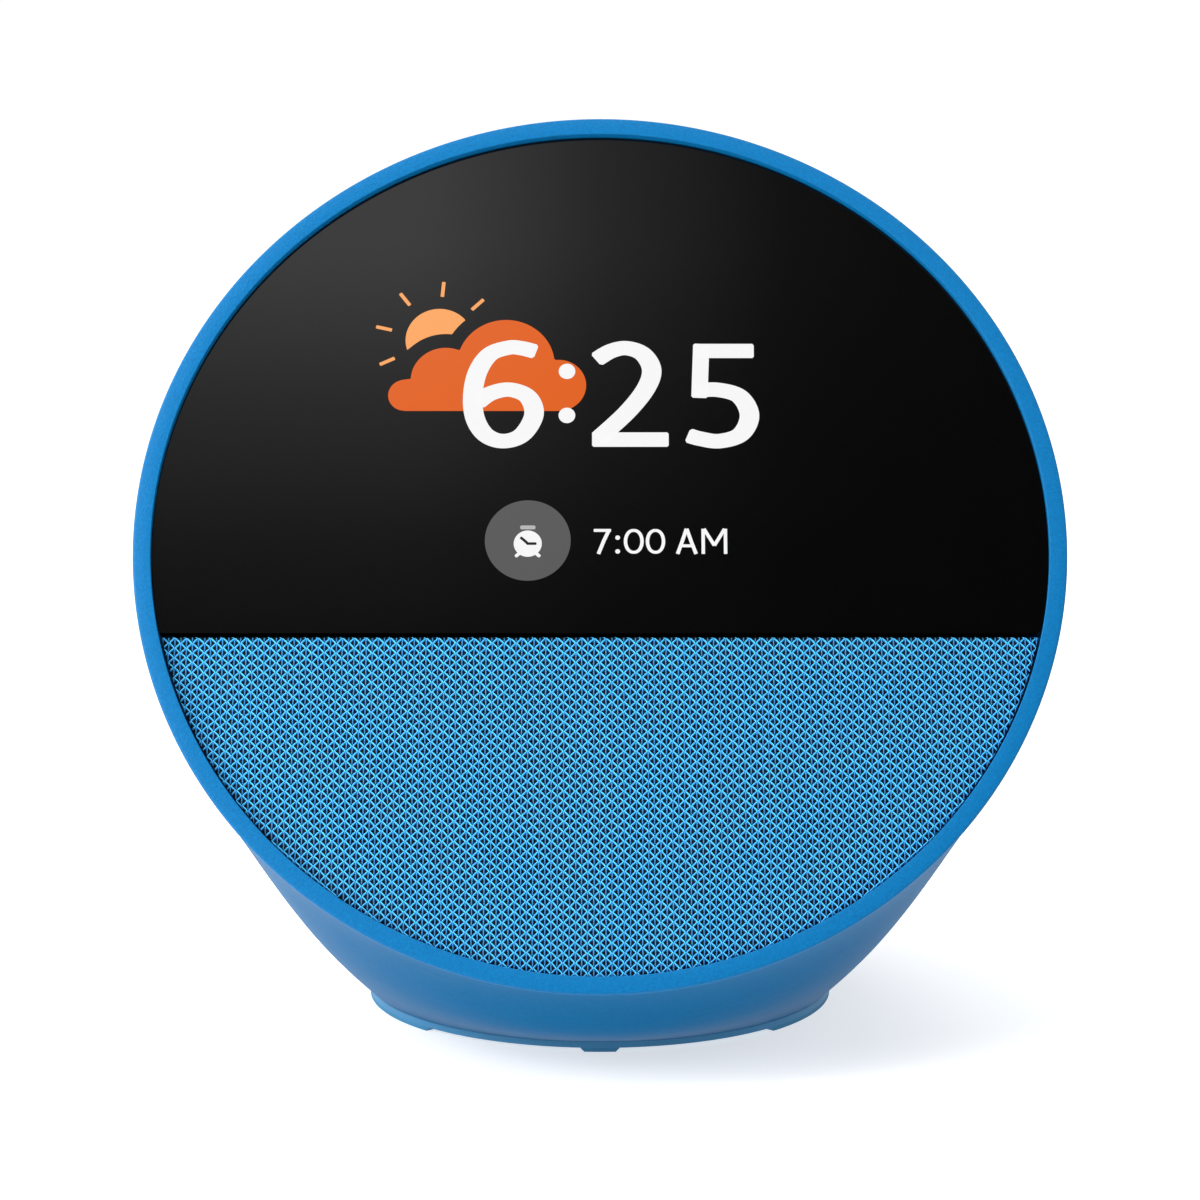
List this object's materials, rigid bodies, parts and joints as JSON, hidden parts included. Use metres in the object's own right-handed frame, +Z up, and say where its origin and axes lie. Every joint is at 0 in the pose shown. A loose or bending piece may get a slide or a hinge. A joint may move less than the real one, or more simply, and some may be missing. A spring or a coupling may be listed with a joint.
{
  "type": "smart display",
  "caption": "Desktop smart display with a leaning round face, glass screen above a knit speaker cloth, and a deep domed body on a small base.",
  "frame": {"origin": "middle of the body's outline on the table plane, under the feet", "axes": "+Z up, face looks towards -Y and leans back, +X to the right when facing the screen from behind the part, that is to the viewer's right"},
  "size_m": [0.113, 0.1029, 0.1109],
  "materials": {
    "body_plastic": "satin, fine moulded grain",
    "base_plastic": "satin, fine moulded grain",
    "foot_rubber": "matt",
    "screw_steel": "plated",
    "weight_steel": "zinc plated",
    "cover_glass": "polished, black printed back",
    "foam_tape": "matt foam",
    "touch_film": "clear film",
    "lcd_glass": "polished",
    "backlight_white": "satin",
    "bright_metal": "tin plated",
    "flex_film": "polyimide film",
    "connector_plastic": "moulded",
    "board_green": "solder mask",
    "chip_black": "moulded",
    "speaker_cloth": "open knit",
    "chassis_plastic": "moulded",
    "magnet_ferrite": "sintered",
    "coil_copper": "enamelled wire",
    "cone_paper": "pulp",
    "soft_rubber": "satin",
    "spider_cloth": "impregnated cotton",
    "wire_rubber": "satin",
    "spreader_aluminium": "bead blasted",
    "pin_plated": "gold plated",
    "screen_white": "lit picture",
    "screen_orange": "lit picture",
    "screen_amber": "lit picture",
    "screen_grey": "lit picture"
  },
  "bodies": {
    "housing": {"rear_housing": "body_plastic", "bezel_ring": "body_plastic", "base_plate": "base_plastic", "foot_pads": "foot_rubber", "base_screws": "screw_steel", "base_weight": "weight_steel", "cover_glass": "cover_glass", "glass_adhesive": "foam_tape", "touch_sensor": "touch_film", "lcd_panel": "lcd_glass", "backlight_unit": "backlight_white", "lcd_bracket": "bright_metal", "display_flex": "flex_film", "display_connector": "connector_plastic", "light_sensor": "chip_black", "speaker_fabric": "speaker_cloth", "grille_plate": "chassis_plastic", "front_chassis": "chassis_plastic", "chassis_screws": "screw_steel", "speaker_gasket": "foam_tape", "speaker_basket": "weight_steel", "speaker_top_plate": "weight_steel", "speaker_magnet": "magnet_ferrite", "speaker_yoke": "weight_steel", "surround": "soft_rubber", "spider": "spider_cloth", "speaker_enclosure": "chassis_plastic", "enclosure_screws": "screw_steel", "speaker_leads": "wire_rubber", "speaker_connector": "connector_plastic", "main_board": "board_green", "processor": "chip_black", "memory_chip": "chip_black", "wireless_module": "chip_black", "shield_can": "bright_metal", "thermal_pad": "foam_tape", "heat_spreader": "spreader_aluminium", "board_screws": "screw_steel", "antenna_left": "flex_film", "antenna_right": "flex_film", "button_board": "board_green", "tact_switches": "chip_black", "microphones": "chip_black", "mic_gaskets": "foam_tape", "power_jack": "chassis_plastic", "jack_center_pin": "pin_plated", "power_board": "board_green", "power_cable": "wire_rubber"},
    "volume_down": {"volume_down_button": "body_plastic", "volume_down_plunger": "chassis_plastic"},
    "mic_mute": {"mic_mute_button": "body_plastic", "mic_mute_plunger": "chassis_plastic"},
    "volume_up": {"volume_up_button": "body_plastic", "volume_up_plunger": "chassis_plastic"},
    "cone": {"voice_coil": "coil_copper", "speaker_cone": "cone_paper", "dust_cap": "cone_paper"}
  },
  "joints": [
    {"name": "volume_down_press", "type": "slide", "parent": "housing", "child": "volume_down", "axis": [0, -0.4833, -0.8755], "range_m": [0, 0.0006], "stiffness_N_per_m": 500},
    {"name": "mic_mute_press", "type": "slide", "parent": "housing", "child": "mic_mute", "axis": [0, -0.4833, -0.8755], "range_m": [0, 0.0006], "stiffness_N_per_m": 500},
    {"name": "volume_up_press", "type": "slide", "parent": "housing", "child": "volume_up", "axis": [0, -0.4833, -0.8755], "range_m": [0, 0.0006], "stiffness_N_per_m": 500},
    {"name": "cone_travel", "type": "slide", "parent": "housing", "child": "cone", "axis": [0, -0.8755, 0.4833], "range_m": [-0.0015, 0.0015], "stiffness_N_per_m": 1500, "deforming": ["surround", "spider"]}
  ]
}
